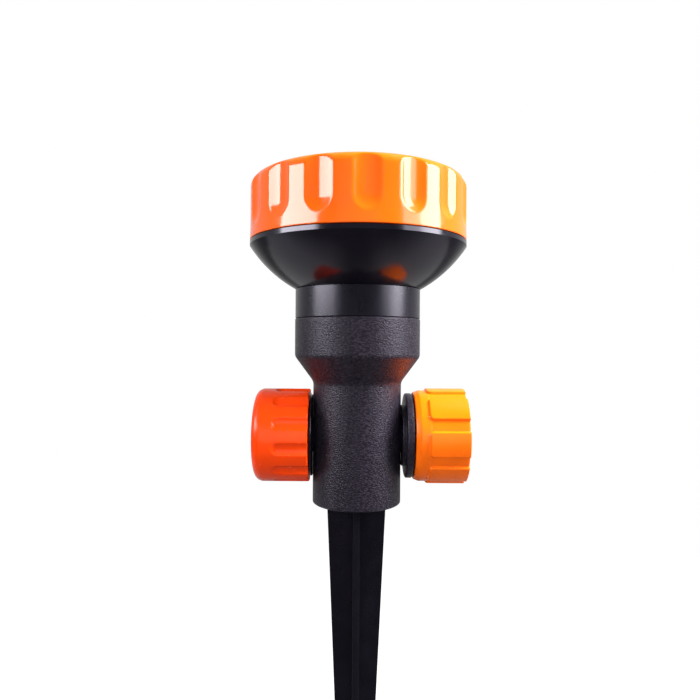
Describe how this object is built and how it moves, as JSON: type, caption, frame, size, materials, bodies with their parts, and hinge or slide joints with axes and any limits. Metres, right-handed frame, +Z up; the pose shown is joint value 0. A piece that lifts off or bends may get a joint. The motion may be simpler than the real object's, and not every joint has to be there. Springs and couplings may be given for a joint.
{
  "type": "dial sprinkler on an in-line ground spike",
  "caption": "Lawn sprinkler with a turning pattern dial on a tubular housing, a swivel hose inlet, a capped through outlet and a ground spike.",
  "frame": {"origin": "on the spike's axis, at the underside of the housing, which stands on the soil", "axes": "+Z up along the spike, housing and head; +X out of the hose inlet; -X out of the capped outlet"},
  "size_m": [0.081, 0.081, 0.3007],
  "materials": {
    "gloss_orange": "glossy injection-moulded orange plastic",
    "gloss_black": "glossy injection-moulded black plastic",
    "textured_charcoal": "spark-eroded fine grain on charcoal plastic",
    "matte_black": "satin black plastic",
    "seal_rubber": "matte black rubber",
    "steel": "stainless steel"
  },
  "bodies": {
    "housing": {"ground_spike": "gloss_black", "body_housing": "textured_charcoal", "water_tee": "matte_black", "riser_oring": "seal_rubber", "inlet_tail": "gloss_black", "inlet_oring": "seal_rubber", "inlet_bush": "textured_charcoal", "hose_washer": "seal_rubber", "outlet_nipple": "gloss_black", "outlet_oring": "seal_rubber", "head_collar": "gloss_black", "spray_bowl": "gloss_black", "chamber_gasket": "seal_rubber", "port_plate": "matte_black", "port_plate_screws": "steel", "port_seal": "seal_rubber", "port_seal_spring": "steel", "detent_leaf": "steel", "detent_screw": "steel", "pivot_washer": "steel", "pivot_screw": "steel"},
    "dial": {"dial_ring": "gloss_orange", "pattern_plate": "matte_black", "dial_screws": "steel", "hub_cap": "gloss_black"},
    "nut": {"swivel_nut": "gloss_orange"},
    "cap_carrier": {"end_cap_washer": "seal_rubber"},
    "cap": {"end_cap": "gloss_orange"}
  },
  "joints": [
    {"name": "dial_turn", "type": "hinge", "parent": "housing", "child": "dial", "pos_m": [0, 0, 0.11], "axis": [0, 0, 1], "continuous": true, "deforming": ["detent_leaf"]},
    {"name": "nut_swivel", "type": "hinge", "parent": "housing", "child": "nut", "pos_m": [0.031, 0, 0.0252], "axis": [1, 0, 0], "continuous": true},
    {"name": "cap_travel", "type": "slide", "parent": "housing", "child": "cap_carrier", "axis": [-1, 0, 0], "range_m": [0, 0.016]},
    {"name": "cap_turn", "type": "hinge", "parent": "cap_carrier", "child": "cap", "pos_m": [-0.027, 0, 0.0252], "axis": [-1, 0, 0], "range_deg": [0, 2520]}
  ],
  "couplings": [
    {"joint": "cap_travel", "follows": "cap_turn", "m_per_rad": 0.00035152}
  ]
}
